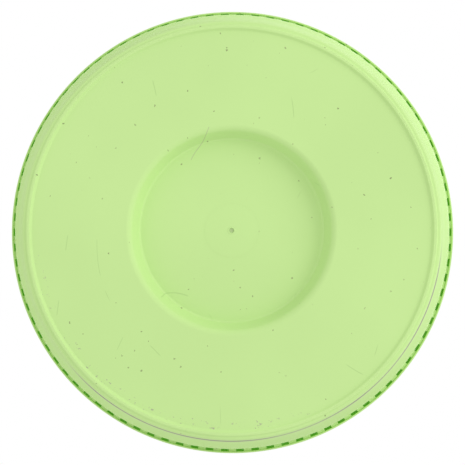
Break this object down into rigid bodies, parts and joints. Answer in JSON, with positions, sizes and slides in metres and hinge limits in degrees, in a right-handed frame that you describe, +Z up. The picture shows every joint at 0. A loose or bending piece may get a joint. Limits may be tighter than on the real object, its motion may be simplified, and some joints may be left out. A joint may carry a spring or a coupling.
{
  "type": "salad spinner",
  "caption": "Round household salad spinner: an outer bowl, a slotted basket on a centre pin, and a lid whose crank wheel spins the basket through a geared drive, with a push brake.",
  "frame": {"origin": "centre of the foot ring, on the surface that the bowl stands on", "axes": "+Z up along the axis that the basket turns on; +X towards the crank knob; -Y towards the brake button"},
  "size_m": [0.248, 0.248, 0.1666],
  "materials": {
    "green_plastic": "satin moulded polypropylene, light leaf green",
    "deep_green_plastic": "satin moulded plastic, deep green",
    "white_plastic": "satin moulded plastic, soft white",
    "acetal": "natural acetal",
    "steel": "stainless steel",
    "brake_rubber": "dark moulded rubber"
  },
  "bodies": {
    "bowl_body": {"bowl": "green_plastic"},
    "pivot_body": {"pivot_bush": "acetal"},
    "basket_body": {"basket": "white_plastic"},
    "lid_body": {"lid": "green_plastic", "bezel_ring": "deep_green_plastic", "shaft_bush": "acetal", "idler_pins": "steel", "idler_clips": "steel", "brake_spring": "steel"},
    "driver_body": {"basket_driver": "white_plastic", "driver_washer": "steel", "driver_screw": "steel", "drive_shaft": "steel", "drive_gear": "white_plastic", "gear_clip": "steel"},
    "idler_body_1": {"idler_gear_1": "white_plastic"},
    "idler_body_2": {"idler_gear_2": "white_plastic"},
    "idler_body_3": {"idler_gear_3": "white_plastic"},
    "crank_body": {"crank_wheel": "white_plastic", "ring_gear": "white_plastic", "ring_gear_screws": "steel", "knob_pin": "steel", "knob_washer": "steel"},
    "knob_body": {"knob": "deep_green_plastic", "knob_cap": "green_plastic"},
    "brake_body": {"brake_button": "deep_green_plastic", "brake_pad": "brake_rubber"}
  },
  "joints": [
    {"name": "basket_spin", "type": "hinge", "parent": "bowl_body", "child": "pivot_body", "pos_m": [0, 0, 0], "axis": [0, 0, 1], "continuous": true},
    {"name": "basket_lift", "type": "slide", "parent": "pivot_body", "child": "basket_body", "axis": [0, 0, 1], "range_m": [0, 0.13]},
    {"name": "lid_lift", "type": "slide", "parent": "bowl_body", "child": "lid_body", "axis": [0, 0, 1], "range_m": [0, 0.26]},
    {"name": "driver_spin", "type": "hinge", "parent": "lid_body", "child": "driver_body", "pos_m": [0, 0, 0], "axis": [0, 0, 1], "continuous": true},
    {"name": "idler_1_spin", "type": "hinge", "parent": "lid_body", "child": "idler_body_1", "pos_m": [0, 0.03, 0], "axis": [0, 0, 1], "continuous": true},
    {"name": "idler_2_spin", "type": "hinge", "parent": "lid_body", "child": "idler_body_2", "pos_m": [-0.02598, -0.015, 0], "axis": [0, 0, 1], "continuous": true},
    {"name": "idler_3_spin", "type": "hinge", "parent": "lid_body", "child": "idler_body_3", "pos_m": [0.02598, -0.015, 0], "axis": [0, 0, 1], "continuous": true},
    {"name": "crank_turn", "type": "hinge", "parent": "lid_body", "child": "crank_body", "pos_m": [0, 0, 0], "axis": [0, 0, 1], "continuous": true},
    {"name": "knob_spin", "type": "hinge", "parent": "crank_body", "child": "knob_body", "pos_m": [0.044, 0, 0], "axis": [0, 0, 1], "continuous": true},
    {"name": "brake_press", "type": "slide", "parent": "lid_body", "child": "brake_body", "axis": [0, 0, -1], "range_m": [0, 0.003], "stiffness_N_per_m": 900, "springref_m": -0.001, "deforming": ["brake_spring"]}
  ],
  "couplings": [
    {"joint": "driver_spin", "follows": "basket_spin", "ratio": 1},
    {"joint": "idler_1_spin", "follows": "basket_spin", "ratio": -1},
    {"joint": "idler_2_spin", "follows": "basket_spin", "ratio": -1},
    {"joint": "idler_3_spin", "follows": "basket_spin", "ratio": -1},
    {"joint": "crank_turn", "follows": "basket_spin", "ratio": -0.33333},
    {"joint": "basket_lift", "follows": "lid_lift", "ratio": 0.5}
  ]
}
